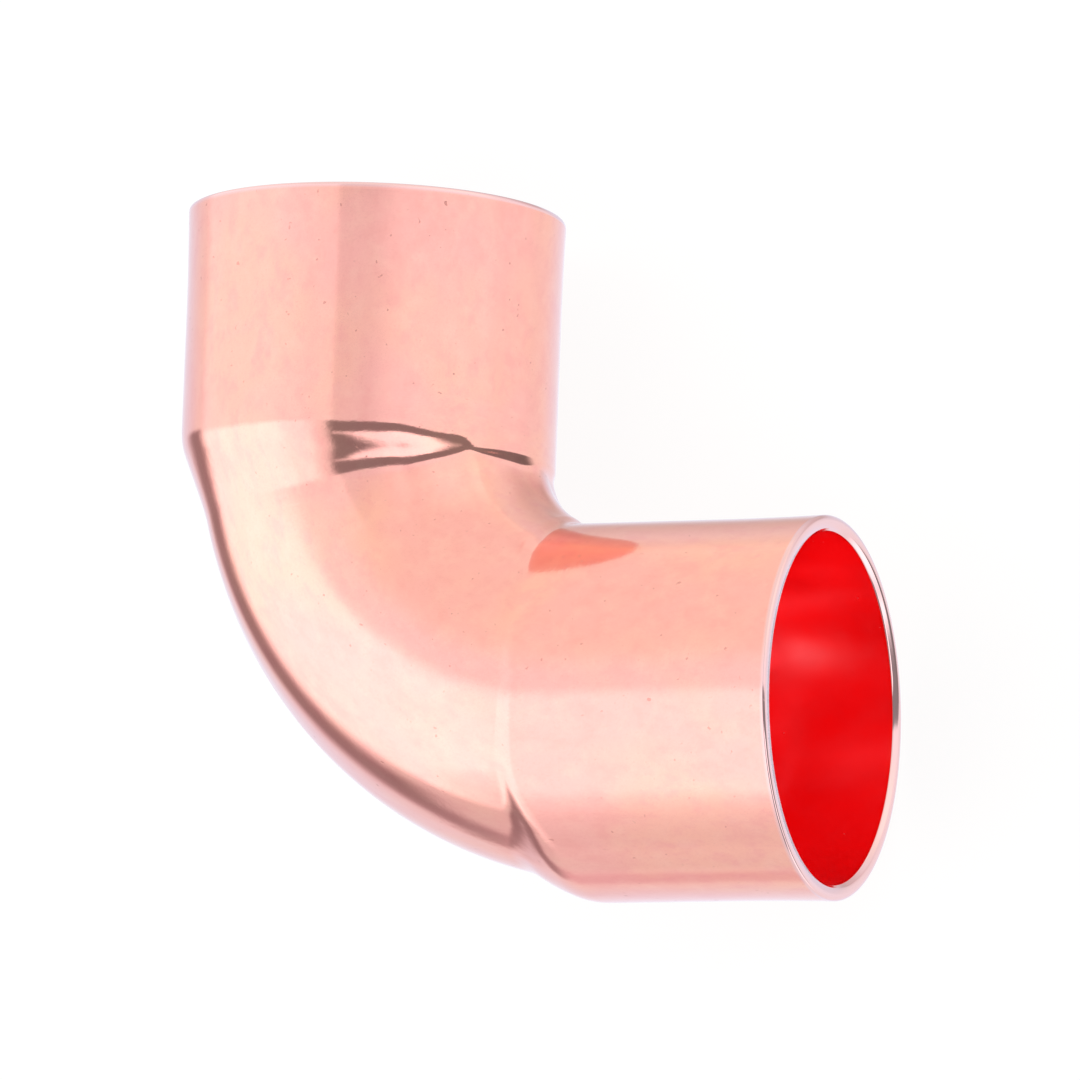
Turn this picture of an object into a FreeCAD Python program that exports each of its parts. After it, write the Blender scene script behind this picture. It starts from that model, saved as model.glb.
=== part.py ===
"""Wrought copper pipe elbow, 90 degrees, for 22 mm copper tube, capillary (solder) socket at both ends.

The fitting is one piece of tube: it is cut to length, bent, and its two ends are pushed out to sockets.
It has no seam, insert, nut, ring or seal, so it is one solid in one file.

Frame, in millimetres: origin at the centre of socket A's mouth, +X out of socket A along its axis,
+Y out of socket B along its axis, +Z square to the plane of the bend. It lies flat on its side, as it rests.
"""
import FreeCAD, Part
import math
import os

V = FreeCAD.Vector

# ---- driving dimensions, mm -------------------------------------------------------------------------------------
TUBE_OD = 22.0            # tube that the sockets take
BORE_R = 11.06            # socket bore: capillary gap of 0.06 mm a side on the tube
SOCKET_WALL = 1.05        # wall of the expanded socket
SOCKET_R = BORE_R + SOCKET_WALL
CENTRE_TO_END = 32.8      # crossing of the two socket axes to either mouth
SOCKET_DEPTH = 15.3       # mouth to tube stop
SHOULDER_AT = 15.0        # mouth to the start of the outside shoulder
SHOULDER_LEN = 6.0        # length of the outside shoulder along the outer side of the bend
SHOULDER_LEN_THROAT = 2.2 # and beside the throat
BEND_R = 19.5             # centre line radius of the bend
TUBE_R = 11.0             # outside radius of the bent tube, in the plane of the bend
TUBE_RZ_A = 11.95         # and square to it: the section swells sideways beside socket A
TUBE_RZ_B = 11.15         # and much less towards socket B, where it is necked in
THROAT_FILLET = 4.9       # outside radius of the corner between the two sockets
WALL_OUTER_SIDE = 0.98    # wall is stretched on the outer side of the bend
WALL_SIDE = 1.05
WALL_THROAT = 1.25        # and is gathered in the throat
STOP_R = 10.78            # radius of the opening just behind the tube stop
STOP_LEN = 2.9            # the stop eases down to the tube's own bore over this length
RIM_ROUND = 0.30          # outside edge of each mouth
DEBURR = 0.25             # inside edge of each mouth, 45 degrees

N_AROUND = 28             # interpolation points round each section
SEAM = 0.137              # turns the first point, and so each skin's seam, away from the planes of symmetry, in radians


def smooth(t):
    t = min(max(t, 0.0), 1.0)
    return t * t * (3.0 - 2.0 * t)


def throat_distance(a, line, fillet):
    """Distance from the bend centre to the throat's surface at angle a: two straight lines and a rounded corner."""
    g = BEND_R - line
    k = g - fillet
    am = min(a, math.pi / 2 - a)
    straight = g / math.cos(am)
    if am < math.atan2(k, g):
        return straight
    b = k * (math.sin(a) + math.cos(a))
    return min(b + math.sqrt(max(b * b - (2 * k * k - fillet * fillet), 0.0)), straight)


def side_radius(a):
    """Half the width of the bent tube, square to the plane of the bend, at angle a."""
    k = smooth((math.degrees(a) - 8.0) / 60.0)
    return TUBE_RZ_A * (1 - k) + TUBE_RZ_B * k


def bend_point(a, across, z):
    """Point in the fan plane at angle a, across from the centre line (positive to the outer side of the bend)."""
    rho = BEND_R + across
    return (BEND_R - rho * math.sin(a), BEND_R - rho * math.cos(a), z)


def socket_point(a, r, c, s, from_a):
    """Point of a straight round socket of radius r, in the fan plane at angle a, for socket A or socket B."""
    am = a if from_a else math.pi / 2 - a
    across = -r * c
    along = BEND_R - (BEND_R - across) * math.tan(am)
    return (along, across, r * s) if from_a else (across, along, r * s)


def skin_section(a, socket_r, start, length, length_throat, r_out, r_z, throat_line, fillet):
    """One closed row of points of the skin in the fan plane at angle a (0 at socket A, a right angle at socket B)."""
    from_a = a <= math.pi / 4
    am = a if from_a else math.pi / 2 - a
    row = []
    for i in range(N_AROUND):
        th = SEAM + 2 * math.pi * i / N_AROUND
        c, s = math.cos(th), math.sin(th)          # c = 1 on the outer side of the bend, -1 in the throat
        q = socket_point(a, socket_r, c, s, from_a)
        inner = BEND_R - throat_distance(a, throat_line, fillet)
        p = bend_point(a, (r_out if c >= 0 else inner) * c, r_z * s)
        along = q[0] if from_a else q[1]
        depth = CENTRE_TO_END - along              # how deep behind its mouth this point of the socket is
        run = length_throat + (length - length_throat) * (0.5 + 0.5 * c)
        w = smooth((depth - start) / run)
        row.append(tuple(q[j] + (p[j] - q[j]) * w for j in range(3)))
    return row


def straight_section(depth, r, leg_a):
    """One closed row of points round a straight socket, at a depth behind its mouth."""
    along = CENTRE_TO_END - depth
    row = []
    for i in range(N_AROUND):
        th = SEAM + 2 * math.pi * i / N_AROUND
        across = -r * math.cos(th)
        row.append((along, across, r * math.sin(th)) if leg_a else (across, along, r * math.sin(th)))
    return row


def solve(rows, rhs):
    """Gaussian elimination with partial pivoting, for the small systems of the interpolation."""
    n = len(rows)
    m = [list(rows[i]) + list(rhs[i]) for i in range(n)]
    w = len(m[0])
    for i in range(n):
        k = max(range(i, n), key=lambda r: abs(m[r][i]))
        m[i], m[k] = m[k], m[i]
        d = m[i][i]
        for r in range(i + 1, n):
            f = m[r][i] / d
            if f:
                for j in range(i, w):
                    m[r][j] -= f * m[i][j]
    out = [None] * n
    for i in range(n - 1, -1, -1):
        out[i] = [(m[i][n + j] - sum(m[i][k] * out[k][j] for k in range(i + 1, n))) / m[i][i] for j in range(w - n)]
    return out


def skin(rows, params):
    """Smooth closed skin over the rows: cubic along the tube, cubic and periodic round it."""
    n = len(rows)
    # round the tube: a uniform periodic cubic, whose value at knot i is (P[i-1] + 4 P[i] + P[i+1]) / 6
    around = [[0.0] * N_AROUND for _ in range(N_AROUND)]
    for i in range(N_AROUND):
        around[i][i] = 4 / 6
        around[i][i - 1] += 1 / 6
        around[i][(i + 1) % N_AROUND] += 1 / 6
    # one matrix, many right-hand sides: x, y, z of every row side by side
    rhs = [[rows[k][i][j] for k in range(n) for j in range(3)] for i in range(N_AROUND)]
    ctrl = solve(around, rhs)
    # along the tube: the rows are the control rows of a clamped cubic, so straight stretches stay exactly straight
    knots = [params[0]] * 4 + [sum(params[i:i + 3]) / 3 for i in range(1, n - 3)] + [params[-1]] * 4
    poles_u = [[ctrl[i][3 * k + j] for i in range(N_AROUND) for j in range(3)] for k in range(n)]
    poles = [[V(*poles_u[u][3 * i:3 * i + 3]) for i in range(N_AROUND)] for u in range(n)]
    # knot i of the closed direction sits over pole i, so the first pole of the list is the one after it
    poles = [row[-1:] + row[:-1] for row in poles]
    uk, um = [], []
    for k in knots:
        if uk and abs(uk[-1] - k) < 1e-12:
            um[-1] += 1
        else:
            uk.append(k)
            um.append(1)
    surface = Part.BSplineSurface()
    surface.buildFromPolesMultsKnots(poles, um, [1] * (N_AROUND + 1), uk,
                                     [float(i) for i in range(N_AROUND + 1)], False, True, 3, 3)
    return surface


def closed_skin(surface):
    """The solid inside a skin, with a flat face across each end."""
    face = surface.toShape()
    u0, u1, _, _ = surface.bounds()
    caps = []
    for e in face.Edges:
        if e.isClosed() and len(e.Vertexes) == 1:
            pts = [e.valueAt(e.FirstParameter + (e.LastParameter - e.FirstParameter) * k / 7) for k in range(7)]
            if max(abs(p.x - pts[0].x) for p in pts) < 1e-4 or max(abs(p.y - pts[0].y) for p in pts) < 1e-4:
                if max(p.z for p in pts) - min(p.z for p in pts) > 5:
                    caps.append(Part.Face(Part.Wire([e])))
    shell = Part.Shell([face] + caps)
    shell.sewShape()
    solid = Part.Solid(shell)
    solid.fix(1e-4, 1e-4, 1e-3)
    if solid.Volume < 0:
        solid.reverse()
    return solid


def outer_skin():
    rows, params = [], []
    lead = [0.0, 0.02, 0.05, 0.10, 0.16, 0.23, RIM_ROUND, 0.38, 0.55, 1.0, 3.0, 6.0, 9.0, 11.5]
    for d in lead:
        k = max(RIM_ROUND - d, 0.0)
        r = SOCKET_R - RIM_ROUND + math.sqrt(max(RIM_ROUND ** 2 - k * k, 0.0))
        rows.append(straight_section(d, r, True))
        params.append(d)
    base = CENTRE_TO_END - BEND_R
    fan = [0.0, 1.0, 2.0, 3.0, 4.0, 5.0, 6.0, 7.0, 8.0, 9.0, 10.0, 11.5, 13.5, 16.0, 19.0, 22.0, 25.0, 28.0, 31.0,
           33.5, 36.0, 38.0, 40.0, 41.7, 43.4, 45.0]
    fan = fan + [90.0 - x for x in fan[-2::-1]]
    for deg in fan:
        a = math.radians(deg)
        rows.append(skin_section(a, SOCKET_R, SHOULDER_AT, SHOULDER_LEN, SHOULDER_LEN_THROAT, TUBE_R, side_radius(a),
                                 SOCKET_R, THROAT_FILLET))
        params.append(base + BEND_R * a)
    total = 2 * base + BEND_R * math.pi / 2
    for d in lead[::-1]:
        k = max(RIM_ROUND - d, 0.0)
        r = SOCKET_R - RIM_ROUND + math.sqrt(max(RIM_ROUND ** 2 - k * k, 0.0))
        rows.append(straight_section(d, r, False))
        params.append(total - d)
    return closed_skin(skin(rows, params))


def inner_skin():
    rows, params = [], []
    fan = [0.0, 1.5, 3.0, 4.5, 6.0, 7.5, 9.0, 11.0, 13.5, 17.0, 21.0, 25.0, 29.0, 33.0, 37.0, 41.0, 45.0]
    fan = fan + [90.0 - x for x in fan[-2::-1]]
    for deg in fan:
        a = math.radians(deg)
        rows.append(skin_section(a, STOP_R, SOCKET_DEPTH, STOP_LEN, STOP_LEN, TUBE_R - WALL_OUTER_SIDE,
                                 side_radius(a) - WALL_SIDE, SOCKET_R - WALL_THROAT, THROAT_FILLET + WALL_THROAT))
        params.append(BEND_R * a)
    return closed_skin(skin(rows, params))


def bore_tool(leg_a):
    """Socket bore from the mouth to the tube stop, with the deburred edge at the mouth."""
    over = 1.0
    profile = [(-over, 0.0), (-over, BORE_R + DEBURR + over), (DEBURR, BORE_R), (SOCKET_DEPTH, BORE_R), (SOCKET_DEPTH, 0.0)]
    c, s = math.cos(SEAM), math.sin(SEAM)
    if leg_a:
        pts = [V(CENTRE_TO_END - d, r * c, r * s) for d, r in profile]
        axis = V(1, 0, 0)
    else:
        pts = [V(r * c, CENTRE_TO_END - d, r * s) for d, r in profile]
        axis = V(0, 1, 0)
    return Part.Face(Part.makePolygon(pts + pts[:1])).revolve(V(0, 0, 0), axis, 360)


outer = outer_skin()
passage = inner_skin()
elbow = outer.cut(passage.fuse([bore_tool(True), bore_tool(False)]))
elbow = elbow.Solids[0] if len(elbow.Solids) == 1 else elbow
elbow.translate(V(-CENTRE_TO_END, 0, 0))

os.makedirs("parts", exist_ok=True)
elbow.exportStep("parts/elbow_body.step")
print("valid", elbow.isValid(), "solids", len(elbow.Solids), "faces", len(elbow.Faces), "volume mm3", round(elbow.Volume, 2))
b = elbow.BoundBox
print("box", [round(x, 3) for x in (b.XMin, b.YMin, b.ZMin, b.XMax, b.YMax, b.ZMax)])
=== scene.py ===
"""Looks of the copper elbow: one closed mesh of the drawn and expanded tube, its copper, a studio and a camera."""
import math

import bpy
import numpy as np
from mathutils import Matrix, Vector

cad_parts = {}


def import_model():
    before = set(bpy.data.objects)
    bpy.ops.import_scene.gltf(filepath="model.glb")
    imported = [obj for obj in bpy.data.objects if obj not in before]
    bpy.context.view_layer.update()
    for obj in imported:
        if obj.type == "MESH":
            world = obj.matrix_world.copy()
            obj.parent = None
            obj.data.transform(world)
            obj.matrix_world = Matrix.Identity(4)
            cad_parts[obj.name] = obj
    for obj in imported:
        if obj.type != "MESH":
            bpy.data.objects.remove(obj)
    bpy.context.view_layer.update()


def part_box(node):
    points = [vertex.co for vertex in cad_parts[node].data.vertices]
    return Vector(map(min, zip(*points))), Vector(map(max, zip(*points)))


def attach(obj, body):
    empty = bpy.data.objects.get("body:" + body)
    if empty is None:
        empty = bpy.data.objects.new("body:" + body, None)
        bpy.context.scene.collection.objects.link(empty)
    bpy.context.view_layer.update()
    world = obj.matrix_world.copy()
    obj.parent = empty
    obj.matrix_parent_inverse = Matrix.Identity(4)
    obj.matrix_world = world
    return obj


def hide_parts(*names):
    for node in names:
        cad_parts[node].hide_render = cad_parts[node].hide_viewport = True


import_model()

scene = bpy.context.scene

# ---- shape, in millimetres, about the crossing of the two socket axes -------------------------------------------
END = 32.8           # crossing to either mouth
SR = 12.11           # socket, outside radius
BR = 11.06           # socket bore
BEND = 19.5          # centre line radius of the bend
FILLET = 4.9         # corner of the throat
WALL = [(0, 0.98), (90, 1.05), (180, 1.25)]   # wall on the outer side of the bend, beside it and in the throat
STOP = 15.3          # mouth to tube stop
STOP_R = 10.78       # opening just behind the stop
STOP_LEN = 2.9       # the stop eases down to the tube's own bore over this length
RIM = 0.30           # outside edge of the mouths, broken more on one side than on the other
RIM_UNEVEN = 0.15
DEBURR = 0.25        # inside edge of the mouths
AROUND = 288         # points round the tube
FLARE = 0.12         # the mouths open out this much over the last millimetres
FLARE_LEN = 7.0
SHIFT = -END         # the row's origin is the mouth of socket A


def smooth(t):
    t = np.clip(t, 0.0, 1.0)
    return t * t * (3.0 - 2.0 * t)


def curve(x, pts):
    """Smooth curve through (x, y) pairs without overshoot, flat beyond both ends."""
    xs = np.array([p[0] for p in pts], float)
    ys = np.array([p[1] for p in pts], float)
    h = np.diff(xs)
    d = np.diff(ys) / h
    m = np.zeros(len(xs))
    m[1:-1] = np.where(d[:-1] * d[1:] > 0, 2 * d[:-1] * d[1:] / (d[:-1] + d[1:] + 1e-12), 0.0)
    x = np.clip(np.asarray(x, float), xs[0], xs[-1])
    i = np.clip(np.searchsorted(xs, x, side="right") - 1, 0, len(h) - 1)
    t = (x - xs[i]) / h[i]
    return ((2 * t**3 - 3 * t**2 + 1) * ys[i] + (t**3 - 2 * t**2 + t) * h[i] * m[i]
            + (-2 * t**3 + 3 * t**2) * ys[i + 1] + (t**3 - t**2) * h[i] * m[i + 1])


def throat(a, line, fillet):
    """Distance from the bend centre to the throat at fan angle a: two straight lines and a rounded corner."""
    g = BEND - line
    k = g - fillet
    am = min(a, math.pi / 2 - a)
    straight = g / math.cos(am)
    if am < math.atan2(k, g):
        return straight
    b = k * (math.sin(a) + math.cos(a))
    return min(b + math.sqrt(max(b * b - (2 * k * k - fillet * fillet), 0.0)), straight)


# All tables go by the angle round the tube in degrees: 0 on the outer side of the bend, 90 square to it, 180 in the
# throat. First where each outside shoulder starts and ends behind its mouth, then the share of that length in which it
# turns in and turns back, then the bent tube's radius at that end.
SHOULDER_A = ([(0, 15.4), (20, 15.35), (27, 15.25), (34, 15.3), (41, 15.45), (47, 15.9), (52, 16.35), (58, 16.9), (66, 17.2), (90, 17.0), (120, 17.0), (180, 17.0)],
              [(0, 21.0), (20, 20.8), (27, 20.3), (34, 19.75), (41, 19.4), (50, 19.1), (57, 18.9), (66, 18.7), (75, 18.5), (90, 18.3), (106, 18.5), (121, 18.7), (180, 18.8)])
SOFT_A = ([(0, 0.30), (20, 0.30), (27, 0.40), (34, 0.48), (47, 0.46), (57, 0.44), (180, 0.45)],
          [(0, 0.30), (20, 0.30), (27, 0.36), (34, 0.40), (57, 0.40), (180, 0.45)])
SHOULDER_B = ([(0, 14.4), (21, 14.5), (42, 14.8), (66, 15.15), (90, 15.2), (105, 15.3), (121, 15.38), (131, 15.68), (136, 15.78), (141, 15.80), (144, 15.95), (146, 16.3), (148, 16.46), (152, 16.42), (158, 16.36), (165, 16.33), (180, 16.33)],
              [(0, 21.6), (22, 21.4), (42, 20.9), (66, 20.3), (90, 19.8), (106, 19.3), (117, 18.8), (124, 18.4), (131, 17.95), (136, 17.6), (141, 17.25), (144, 17.0), (146, 16.95), (148, 17.0), (152, 17.15), (158, 17.35), (165, 17.5), (180, 17.6)])
SOFT_B = ([(0, 0.24), (25, 0.24), (60, 0.30), (90, 0.36), (105, 0.42), (144, 0.45), (158, 0.25), (180, 0.22)],
          [(0, 0.74), (25, 0.74), (60, 0.66), (90, 0.62), (105, 0.54), (121, 0.52), (145, 0.50), (158, 0.65), (180, 0.70)])
RADIUS_A = [(0, 11.0), (20, 11.0), (27, 11.057), (34, 11.188), (41, 11.369), (48, 11.602), (57, 11.841), (66, 11.998), (78, 12.022), (90, 11.983), (105, 11.95), (130, 11.9), (180, 11.9)]
RADIUS_B = [(0, 11.0), (20, 11.0), (40, 11.28), (60, 11.211), (75, 11.177), (90, 11.134), (105, 11.085), (113, 11.031), (121, 11.004), (126, 11.109), (131, 11.264), (136, 11.405), (141, 11.598), (144, 11.791), (146, 11.853), (148, 11.837), (151, 11.806), (155, 11.773), (160, 11.743), (168, 11.703), (180, 11.9)]
LINE = (12.08, 11.97)  # line of the throat beside either socket: almost level with A, a small step below B
STOP_BACK = ([(0, STOP), (180, STOP)], [(0, STOP + STOP_LEN), (180, STOP + STOP_LEN)])
STOP_SOFT = ([(0, 0.4), (180, 0.4)], [(0, 0.5), (180, 0.5)])


def shoulder(t, e, f):
    """From 0 to 1: an arc over the share e, an even slope, and an arc back over the share f."""
    t = np.clip(t, 0.0, 1.0)
    m = 1.0 / (1.0 - 0.5 * (e + f))
    return np.where(t < e, 0.5 * m * t * t / e,
                    np.where(t < 1 - f, m * (t - 0.5 * e), 1 - 0.5 * m * (1 - t) ** 2 / f))


def towards_b(a):
    return float(smooth((math.degrees(a) - 8.0) / 60.0))


def tube_radius(a, deg):
    """Radius of the bent tube: full beside socket A, necked in towards socket B."""
    k = towards_b(a)
    return curve(deg, RADIUS_A) * (1 - k) + curve(deg, RADIUS_B) * k


def fan_row(a, th, sr, wall, fillet, ends_a, soft_a, ends_b, soft_b):
    """Points of one skin in the fan plane at angle a: 0 at socket A, a right angle at socket B."""
    from_a = a <= math.pi / 4
    am = a if from_a else math.pi / 2 - a
    c, s = np.cos(th), np.sin(th)
    across = -sr * c
    along = BEND - (BEND - across) * math.tan(am)
    deg = np.degrees(np.arccos(np.clip(c, -1, 1)))
    r = tube_radius(a, deg) - curve(deg, wall)
    # on the throat's side the section is squeezed so that it meets the corner between the sockets
    k = towards_b(a)
    line = LINE[0] * (1 - k) + LINE[1] * k - wall[-1][1]
    squeeze = (BEND - throat(a, line, fillet)) / r[np.argmin(c)]
    rho = BEND + r * c * np.where(c >= 0, 1.0, min(squeeze, 1.05))
    px, py, pz = BEND - rho * math.sin(a), BEND - rho * math.cos(a), r * s
    ends, soft = (ends_a, soft_a) if from_a else (ends_b, soft_b)
    start, end = (curve(deg, e) for e in ends)
    w = shoulder((END - along - start) / (end - start), *(curve(deg, e) for e in soft))
    qx, qy = (along, across) if from_a else (across, along)
    return np.stack([qx + (px - qx) * w, qy + (py - qy) * w, sr * s + (pz - sr * s) * w], -1)


def leg_row(depth, r, th, leg_a):
    """Points round a straight socket, at a depth behind its mouth, where the socket opens out a little."""
    r = r + FLARE * np.maximum(1 - depth / FLARE_LEN, 0.0) ** 2
    along, across = END - depth + 0.0 * th, -r * np.cos(th)
    return np.stack([along, across, r * np.sin(th)] if leg_a else [across, along, r * np.sin(th)], -1)


base = END - BEND
total = 2 * base + BEND * math.pi / 2       # length of the centre line, mouth to mouth
th = np.linspace(0, 2 * math.pi, AROUND, endpoint=False)

# every row: points, distance along the centre line, 0 outside .. 1 inside
rows = []


def outer_lead(leg_a):
    part = []
    rim = RIM - RIM_UNEVEN * np.cos(th - math.radians(55))
    for k in range(9):
        u = math.pi / 2 * k / 8
        part.append((rim * (1 - math.cos(u)), SR - rim + rim * math.sin(u)))
    # the mouth's outside edge is a quarter round, then the socket is straight
    part += [(d, SR) for d in (0.5, 0.8, 1.2, 1.8, 2.5, 3.3, 4.1, 4.9, 5.7, 6.5, 7.3, 8.1, 8.9, 9.7, 10.5, 11.3, 12.0, 12.6)]
    return [(leg_row(d, r, th, leg_a), float(np.mean(d))) for d, r in part]


def inner_lead(leg_a):
    part = [(0.0, BR + DEBURR), (0.06, BR + DEBURR - 0.05), (0.19, BR + 0.05), (DEBURR, BR), (0.34, BR)]
    part += [(d, BR) for d in np.linspace(0.6, STOP - 0.05, 34)]
    part += [(STOP - 0.012, BR - 0.01), (STOP, BR - 0.05), (STOP, STOP_R + 0.06), (STOP + 0.015, STOP_R + 0.015)]
    return [(leg_row(d, r, th, leg_a), d) for d, r in part]


for p, d in outer_lead(True):
    rows.append((p, d, 0.0))
for a in np.linspace(0, math.pi / 2, 421):
    rows.append((fan_row(a, th, SR, [(0, 0.0), (180, 0.0)], FILLET, SHOULDER_A, SOFT_A, SHOULDER_B, SOFT_B), base + BEND * a, 0.0))
for p, d in outer_lead(False)[::-1]:
    rows.append((p, total - d, 0.0))
for p, d in inner_lead(False):
    rows.append((p, total - d, 1.0 if d > 0.4 else 0.0))
for a in np.linspace(math.pi / 2, 0, 181):
    p = fan_row(a, th, STOP_R, WALL, FILLET + WALL[2][1], STOP_BACK, STOP_SOFT, STOP_BACK, STOP_SOFT)
    x, y = p[:, 0], p[:, 1]
    if np.all(np.where(a <= math.pi / 4, x, y) < END - STOP - 0.02):
        rows.append((p, base + BEND * a, 1.0))
    else:
        # points that the fan plane would put in front of the stop lie on it
        lim = END - STOP - 0.02
        q = p.copy()
        q[:, 0 if a <= math.pi / 4 else 1] = np.minimum(q[:, 0 if a <= math.pi / 4 else 1], lim)
        rows.append((q, base + BEND * a, 1.0))
for p, d in inner_lead(True)[::-1]:
    rows.append((p, d, 1.0 if d > 0.4 else 0.0))

P = np.array([r[0] for r in rows])
P[..., 0] += SHIFT
arc = np.array([r[1] for r in rows])
inside = np.array([r[2] for r in rows])


def build(name, P, arc, inside):
    n, m = P.shape[:2]
    mesh = bpy.data.meshes.new(name)
    i = np.arange(n)[:, None]
    j = np.arange(m)[None, :]
    i2, j2 = (i + 1) % n, (j + 1) % m
    faces = np.stack([i * m + j, i * m + j2, i2 * m + j2, i2 * m + j], -1).reshape(-1, 4)
    mesh.vertices.add(n * m)
    mesh.vertices.foreach_set("co", (P * 0.001).astype(np.float32).ravel())
    mesh.loops.add(faces.size)
    mesh.loops.foreach_set("vertex_index", faces.astype(np.int32).ravel())
    mesh.polygons.add(len(faces))
    mesh.polygons.foreach_set("loop_start", np.arange(0, faces.size, 4, dtype=np.int32))
    mesh.polygons.foreach_set("loop_total", np.full(len(faces), 4, np.int32))
    mesh.polygons.foreach_set("use_smooth", np.ones(len(faces), bool))
    # the tube laid out straight, in millimetres: distance along it and place in its section
    u = np.empty((n, m, 3), np.float32)
    u[..., 0] = arc[:, None]
    u[..., 1] = SR * np.cos(th)[None, :]
    u[..., 2] = SR * np.sin(th)[None, :]
    a = mesh.attributes.new("tube", "FLOAT_VECTOR", "POINT")
    a.data.foreach_set("vector", u.ravel())
    a = mesh.attributes.new("inside", "FLOAT", "POINT")
    a.data.foreach_set("value", np.repeat(inside, m).astype(np.float32))
    mesh.update()
    mesh.validate()
    o = bpy.data.objects.new(name, mesh)
    scene.collection.objects.link(o)
    return o


elbow = build("elbow_copper", P, arc, inside)

# the rows run out along the outside and back along the inside: make the faces look outward
import bmesh
bm = bmesh.new()
bm.from_mesh(elbow.data)
bmesh.ops.remove_doubles(bm, verts=bm.verts, dist=1e-7)
bmesh.ops.recalc_face_normals(bm, faces=bm.faces)
bm.to_mesh(elbow.data)
bm.free()


# ---- node helpers -------------------------------------------------------------------------------------------------
class Tree:
    def __init__(self, tree):
        self.t = tree
        self.t.nodes.clear()

    def node(self, kind, **inputs):
        n = self.t.nodes.new(kind)
        for k, v in inputs.items():
            self.put(n, k, v)
        return n

    def put(self, n, key, v):
        s = n.inputs[key] if isinstance(key, int) or key in n.inputs else n.inputs[key.replace("_", " ")]
        if hasattr(v, "is_linked") or hasattr(v, "links"):
            self.t.links.new(v, s)
        else:
            s.default_value = v

    def math(self, op, *vals, clamp=False):
        n = self.t.nodes.new("ShaderNodeMath")
        n.operation = op
        n.use_clamp = clamp
        for k, v in enumerate(vals):
            self.put(n, k, v)
        return n.outputs[0]

    def add(self, *v):
        out = v[0]
        for x in v[1:]:
            out = self.math("ADD", out, x)
        return out

    def mul(self, *v):
        out = v[0]
        for x in v[1:]:
            out = self.math("MULTIPLY", out, x)
        return out

    def step(self, x, lo, hi, a=0.0, b=1.0):
        """Smooth step of x from a at lo to b at hi."""
        n = self.t.nodes.new("ShaderNodeMapRange")
        n.interpolation_type = "SMOOTHSTEP"
        n.clamp = True
        self.put(n, 0, x)
        if lo > hi:
            lo, hi, a, b = hi, lo, b, a
        for k, v in zip((1, 2, 3, 4), (lo, hi, a, b)):
            self.put(n, k, v)
        return n.outputs[0]

    def window(self, x, lo, hi, soft_lo, soft_hi=None):
        """1 between lo and hi, 0 outside, with soft edges centred on lo and hi."""
        soft_hi = soft_lo if soft_hi is None else soft_hi
        return self.mul(self.step(x, lo - soft_lo / 2, lo + soft_lo / 2), self.step(x, hi + soft_hi / 2, hi - soft_hi / 2))

    def scale(self, v, xyz):
        n = self.t.nodes.new("ShaderNodeVectorMath")
        n.operation = "MULTIPLY"
        self.put(n, 0, v)
        n.inputs[1].default_value = xyz
        return n.outputs[0]

    def add_vector(self, v, xyz):
        n = self.t.nodes.new("ShaderNodeVectorMath")
        n.operation = "ADD"
        self.put(n, 0, v)
        n.inputs[1].default_value = xyz
        return n.outputs[0]

    def dot(self, v, xyz):
        n = self.t.nodes.new("ShaderNodeVectorMath")
        n.operation = "DOT_PRODUCT"
        self.put(n, 0, v)
        n.inputs[1].default_value = xyz
        return n.outputs["Value"]

    def noise(self, v, scale=1.0, detail=2.0, rough=0.5, distort=0.0):
        n = self.t.nodes.new("ShaderNodeTexNoise")
        self.put(n, "Vector", v)
        n.inputs["Scale"].default_value = scale
        n.inputs["Detail"].default_value = detail
        n.inputs["Roughness"].default_value = rough
        n.inputs["Distortion"].default_value = distort
        return n.outputs["Fac"]

    def cells(self, v, scale=1.0, feature="F1"):
        n = self.t.nodes.new("ShaderNodeTexVoronoi")
        n.feature = feature
        self.put(n, "Vector", v)
        n.inputs["Scale"].default_value = scale
        return n

    def mix(self, fac, a, b):
        n = self.t.nodes.new("ShaderNodeMix")
        n.data_type = "RGBA"
        self.put(n, 0, fac)
        self.put(n, 6, a)
        self.put(n, 7, b)
        return n.outputs[2]


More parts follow.
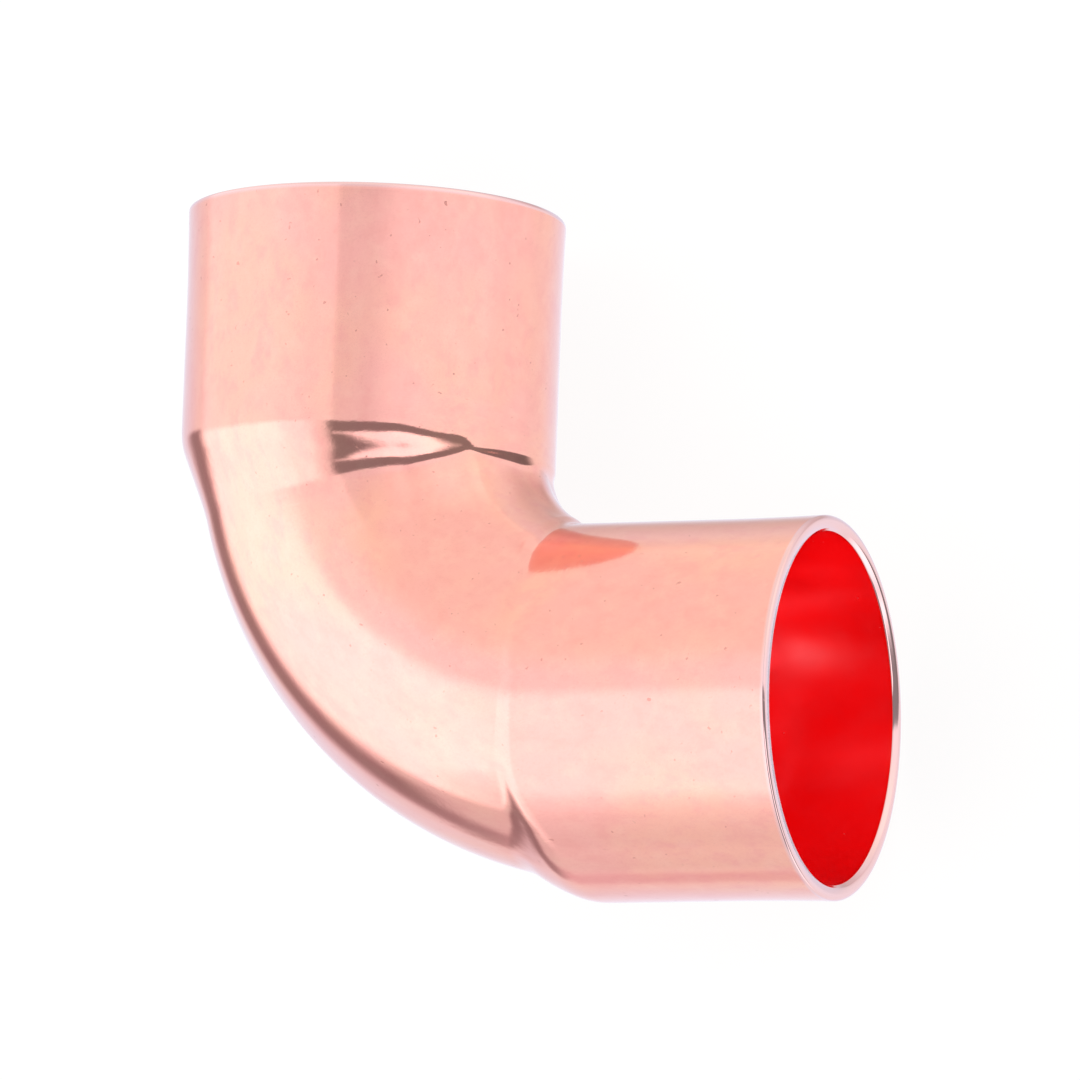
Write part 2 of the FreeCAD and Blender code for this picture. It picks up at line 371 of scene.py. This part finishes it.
# ---- copper ----------------------------------------------------------------------------------------------------------
def copper():
    mat = bpy.data.materials.new("drawn_copper")
    mat.use_nodes = True
    T = Tree(mat.node_tree)
    tube = T.t.nodes.new("ShaderNodeAttribute")
    tube.attribute_name = "tube"
    tube = tube.outputs["Vector"]
    ins = T.t.nodes.new("ShaderNodeAttribute")
    ins.attribute_name = "inside"
    ins = ins.outputs["Fac"]

    # colour: pale copper, with soft warmer and pinker clouds, small dull specks and a fine grain
    cloud = T.noise(T.scale(tube, (0.10, 0.13, 0.13)), 1.0, 2.0, 0.5, 0.3)
    warm = T.mix(T.step(cloud, 0.36, 0.64), (0.950, 0.460, 0.418, 1), (0.962, 0.490, 0.400, 1))
    mott = T.noise(T.scale(tube, (0.55, 0.8, 0.8)), 1.0, 4.0, 0.62)
    outer_col = T.mix(T.mul(T.step(mott, 0.42, 0.72), 0.8), warm, (0.925, 0.425, 0.385, 1))
    pale = T.noise(T.add_vector(T.scale(tube, (0.7, 0.7, 0.7)), (31.0, 7.0, 3.0)), 1.0, 3.0, 0.6)
    outer_col = T.mix(T.mul(T.step(pale, 0.42, 0.80), 0.45), outer_col, (0.972, 0.540, 0.455, 1))
    grain = T.noise(T.scale(tube, (7.0, 7.0, 7.0)), 1.0, 2.0, 0.7)
    outer_col = T.mix(T.mul(T.step(grain, 0.48, 0.80), 0.35), outer_col, (0.86, 0.38, 0.34, 1))
    fleck = T.noise(T.add_vector(T.scale(tube, (2.2, 2.2, 2.2)), (5.0, 19.0, 11.0)), 1.0, 1.0, 0.5)
    spot = T.step(fleck, 0.735, 0.80)
    outer_col = T.mix(T.mul(spot, 0.55), outer_col, (0.60, 0.26, 0.22, 1))
    # painted highlight: the cut and broken edges of the mouths are painted paler and a little lilac, for the light they
    # catch
    place = T.node("ShaderNodeSeparateXYZ")
    T.put(place, 0, tube)
    behind = T.math("MINIMUM", place.outputs[0], T.math("SUBTRACT", total, place.outputs[0]))
    outer_col = T.mix(T.step(behind, 0.45, 0.25), outer_col, (0.88, 0.58, 0.595, 1))
    # painted reflection: inside, the same copper gets a deeper red base colour that stands in for the red light its
    # walls throw on each other
    inside_red_painted_interreflection = (1.0, 0.33, 0.36, 1)
    col = T.mix(ins, outer_col, inside_red_painted_interreflection)

    # satin: fine blotches and drawing marks in the gloss
    blotch = T.noise(T.scale(tube, (0.5, 0.5, 0.5)), 1.0, 3.0, 0.55)
    rough = T.add(0.085, T.mul(T.step(blotch, 0.3, 0.75), 0.05), T.mul(spot, 0.12), T.mul(ins, 0.06))

    # relief, micrometres: ripples left by forming, orange peel, pits, turned hairlines and a few scuffs on the sockets
    ripple = T.noise(T.scale(tube, (0.16, 0.22, 0.22)), 1.0, 1.0, 0.4)
    peel = T.noise(T.scale(tube, (1.3, 1.3, 1.3)), 1.0, 3.0, 0.6)
    rings = T.noise(T.scale(tube, (9.0, 0.25, 0.25)), 1.0, 2.0, 0.6)
    fine = T.noise(T.scale(tube, (5.5, 5.5, 5.5)), 1.0, 2.0, 0.6)
    height = T.add(T.mul(ripple, 9.0), T.mul(peel, 2.2), T.mul(rings, 0.45), T.mul(fine, 0.55), T.mul(spot, -1.5))
    height = T.mul(height, T.add(1.0, T.mul(ins, -0.45)))
    # the shoulders are left rougher in patches, where the tool stretched them
    patch = T.step(T.noise(T.add_vector(T.scale(tube, (0.9, 0.55, 0.55)), (8.0, 2.0, 27.0)), 1.0, 2.0, 0.6), 0.36, 0.60)
    tool = T.noise(T.add_vector(T.scale(tube, (3.6, 2.4, 2.4)), (3.0, 41.0, 17.0)), 1.0, 2.0, 0.6)
    worked = T.add(T.mul(T.window(behind, 14.4, 21.5, 0.8), 2.6), T.mul(T.step(behind, 14.0, 15.0), 0.9))
    worked = T.mul(worked, T.add(0.25, T.mul(patch, 0.75)), tool, T.step(place.outputs[1], -11.6, -9.0))
    scuffs = T.mul(T.window(behind, 11.0, 15.0, 2.5), patch, rings, 1.0)
    height = T.add(height, T.mul(T.add(worked, scuffs), T.math("SUBTRACT", 1.0, ins)))
    bump = T.node("ShaderNodeBump")
    bump.inputs["Strength"].default_value = 1.0
    bump.inputs["Distance"].default_value = 1e-6
    T.put(bump, "Height", height)

    b = T.node("ShaderNodeBsdfPrincipled")
    T.put(b, "Base Color", col)
    T.put(b, "Metallic", 1.0)
    T.put(b, "Roughness", rough)
    T.put(b, "Normal", bump.outputs[0])
    # painted glow: deep in the tube a dim red emission stands in for the light that still passes from wall to wall
    T.put(b, "Emission Color", (1.0, 0.012, 0.035, 1))
    T.put(b, "Emission Strength", T.mul(ins, 0.018))
    out = T.node("ShaderNodeOutputMaterial")
    T.t.links.new(b.outputs[0], out.inputs[0])
    mat.cycles.emission_sampling = "NONE"
    return mat


elbow.data.materials.append(copper())
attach(elbow, "root")
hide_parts("elbow_body")


# ---- studio -----------------------------------------------------------------------------------------------------------
def world():
    w = bpy.data.worlds.new("studio")
    w.use_nodes = True
    scene.world = w
    T = Tree(w.node_tree)
    coord = T.node("ShaderNodeTexCoord")
    d = T.node("ShaderNodeVectorMath")
    d.operation = "NORMALIZE"
    T.put(d, 0, coord.outputs["Generated"])
    d = d.outputs[0]
    sep = T.node("ShaderNodeSeparateXYZ")
    T.put(sep, 0, d)
    x, y, z = sep.outputs
    t = T.mul(T.math("ARCCOSINE", z), 180 / math.pi)           # degrees from straight up

    # far side of the room (+Y): an even tent, brighter to the left of a straight edge overhead
    high = T.step(y, 0.3, 0.6)
    far = T.add(0.95, T.mul(T.step(x, 0.03, -0.03), T.add(0.20, T.mul(high, -0.20))), T.mul(high, 0.11), T.mul(T.step(x, -0.2, -0.75), 0.13), T.mul(T.step(x, 0.30, 0.75), 0.24))
    # near side (-Y): a wide panel to the left that fades towards the viewer's dark side
    near = T.add(0.30, T.mul(T.step(x, 0.015, -0.10), 0.70), T.mul(T.step(x, -0.08, -0.36), 0.52), T.mul(T.step(x, -0.42, -0.62), 0.22))
    edge = T.add(x, T.mul(T.add(y, 0.40), 0.9))
    lamp = T.mul(T.step(y, -0.27, -0.34), T.add(T.mul(T.step(edge, 0.12, 0.34), 0.80), T.mul(T.step(x, 0.4, 0.7), 0.20)), T.step(x, 0.92, 0.78))
    streak = T.mul(T.window(y, -0.33, -0.27, 0.03), T.step(x, -0.02, 0.02), T.step(x, 0.5, 0.3))
    near = T.add(near, T.mul(lamp, 1.38), T.mul(streak, 0.50, T.math("SUBTRACT", 1.0, lamp)))
    soft = T.step(x, -0.15, -0.30)
    side = T.add(T.mul(T.step(y, 0.12, 0.05), T.math("SUBTRACT", 1.0, soft)), T.mul(T.step(y, 0.14, 0.0), soft))
    up_lvl = T.add(T.mul(far, T.math("SUBTRACT", 1.0, side)), T.mul(near, side))
    # the panel darkens in steps towards -Y and a little towards the floor
    toward = T.dot(d, (-0.309, -0.951, 0.0))
    left = T.mul(side, T.step(x, -0.05, -0.3))
    drop = T.add(T.mul(T.step(toward, 0.84, 0.90), 0.20), T.mul(T.step(toward, 0.87, 0.99), 0.34), T.mul(T.step(t, 76, 92), 0.08))
    up_lvl = T.math("MAXIMUM", T.add(up_lvl, T.mul(drop, left, -1.0)), T.add(T.mul(up_lvl, T.math("SUBTRACT", 1.0, left)), T.mul(left, 0.88)))
    # below the horizon: the pale floor, the dark side of the room carried on to the right, and what the floor shades
    under = T.mul(T.window(t, 126, 150, 24, 16), T.step(y, 0.3, 0.6))
    dark = T.mul(T.step(x, 0.35, 0.55), T.window(y, -0.42, 0.078, 0.1, 0.075), T.window(t, 90, 140, 10, 12))
    sw = T.mul(T.window(t, 98, 118, 8, 8), T.step(y, -0.45, -0.6), T.add(0.5, T.mul(T.step(x, -0.45, -0.6), 0.45)))
    slot = T.mul(T.window(y, 0.22, 0.60, 0.08), T.step(t, 133, 146), T.step(x, 0.45, 0.25))
    low = T.add(1.03, T.mul(high, T.step(t, 114, 101), 0.12), T.mul(T.step(x, 0.6, 0.85), 0.08), T.mul(T.window(t, 106, 150, 26, 16), T.step(x, 0.55, 0.2), -0.06), T.mul(under, -0.30), T.mul(dark, -0.86), T.mul(sw, -0.17), T.mul(slot, -0.12), T.mul(T.step(x, 0.2, 0.5), T.step(y, -0.42, -0.56), T.step(t, 100, 115), 0.6))
    lvl = T.add(T.mul(up_lvl, T.step(t, 105, 95)), T.mul(low, T.step(t, 95, 105)))
    # a dark ring behind the object, seen in the turned-away side of the bend: the gap between panel and floor
    ring = T.dot(d, (0.366, -0.01, 0.931))
    west = T.step(x, -0.62, -0.76)
    low_ring = T.add(ring, T.mul(T.step(x, -0.43, -0.56), 0.045))
    south = T.mul(T.step(low_ring, -0.79, -0.71), T.step(low_ring, -0.56, -0.65), T.math("SUBTRACT", 1.0, west))
    gap = T.mul(T.add(T.mul(T.step(ring, -0.91, -0.72), T.step(ring, -0.51, -0.64), west), south), T.step(y, 0.14, 0.08), T.step(x, -0.2, -0.36))
    deep = T.add(0.20, T.mul(T.step(x, -0.42, -0.62), 0.40), T.mul(west, 0.06))
    lvl = T.mul(lvl, T.add(1.0, T.mul(gap, deep, -1.0)))

    # the floor's light is a little cool, the dark ring a little brown, and copper lights itself in the corner
    tint = T.mix(T.step(T.dot(d, (-0.381, 0.156, -0.911)), 0.62, 0.93), (1.0, 1.0, 1.0, 1), (0.925, 0.99, 1.12, 1))
    tint = T.mix(T.mul(T.step(y, 0.22, 0.50), T.step(t, 120, 105)), tint, (1.0, 0.98, 0.90, 1))
    tint = T.mix(gap, tint, (1.12, 0.94, 1.0, 1))
    tint = T.mix(under, tint, (1.12, 1.0, 0.98, 1))
    light = T.node("ShaderNodeBackground", Color=tint)
    T.put(light, "Strength", lvl)
    seen = T.node("ShaderNodeBackground", Color=(1, 1, 1, 1), Strength=1.0)
    path = T.node("ShaderNodeLightPath")
    mix = T.node("ShaderNodeMixShader")
    T.t.links.new(path.outputs["Is Camera Ray"], mix.inputs[0])
    T.t.links.new(light.outputs[0], mix.inputs[1])
    T.t.links.new(seen.outputs[0], mix.inputs[2])
    out = T.node("ShaderNodeOutputWorld")
    T.t.links.new(mix.outputs[0], out.inputs[0])


world()

lo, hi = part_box("elbow_body")
size = 3.0
me = bpy.data.meshes.new("floor")
me.from_pydata([(-size, -size, lo.z), (size, -size, lo.z), (size, size, lo.z), (-size, size, lo.z)], [], [(0, 1, 2, 3)])
floor = bpy.data.objects.new("floor", me)
scene.collection.objects.link(floor)
fm = bpy.data.materials.new("pale_floor")
fm.use_nodes = True
T = Tree(fm.node_tree)
dif = T.node("ShaderNodeBsdfDiffuse", Color=(0.9, 0.9, 0.9, 1))
emi = T.node("ShaderNodeEmission", Color=(1, 1, 1, 1), Strength=1.05)
mx = T.node("ShaderNodeMixShader")
mx.inputs[0].default_value = 0.86
T.t.links.new(dif.outputs[0], mx.inputs[1])
T.t.links.new(emi.outputs[0], mx.inputs[2])
fo = T.node("ShaderNodeOutputMaterial")
T.t.links.new(mx.outputs[0], fo.inputs[0])
me.materials.append(fm)
floor.visible_glossy = False

# ---- camera -----------------------------------------------------------------------------------------------------------
cam = bpy.data.cameras.new("camera")
camera = bpy.data.objects.new("camera", cam)
scene.collection.objects.link(camera)
right, up, back = Vector((0.92412, 0.036137, -0.380389)), Vector((0.026329, 0.98713, 0.15774)), Vector((0.381193, -0.155786, 0.911275))
back.normalize()
right = (right - back * right.dot(back)).normalized()
up = back.cross(right)
rot = Matrix((right, up, back)).transposed()
camera.matrix_world = Matrix.Translation((0.2542881, -0.1010443, 0.6571386)) @ rot.to_4x4()
cam.sensor_width = 36.0
cam.sensor_fit = "HORIZONTAL"
cam.lens = 375.305
cam.clip_start = 0.01
cam.clip_end = 20.0
cam.dof.use_dof = False
scene.camera = camera

scene.view_settings.view_transform = "Standard"
scene.view_settings.look = "None"
scene.cycles.max_bounces = 20
scene.cycles.glossy_bounces = 20
scene.cycles.diffuse_bounces = 3
scene.cycles.sample_clamp_indirect = 4.0
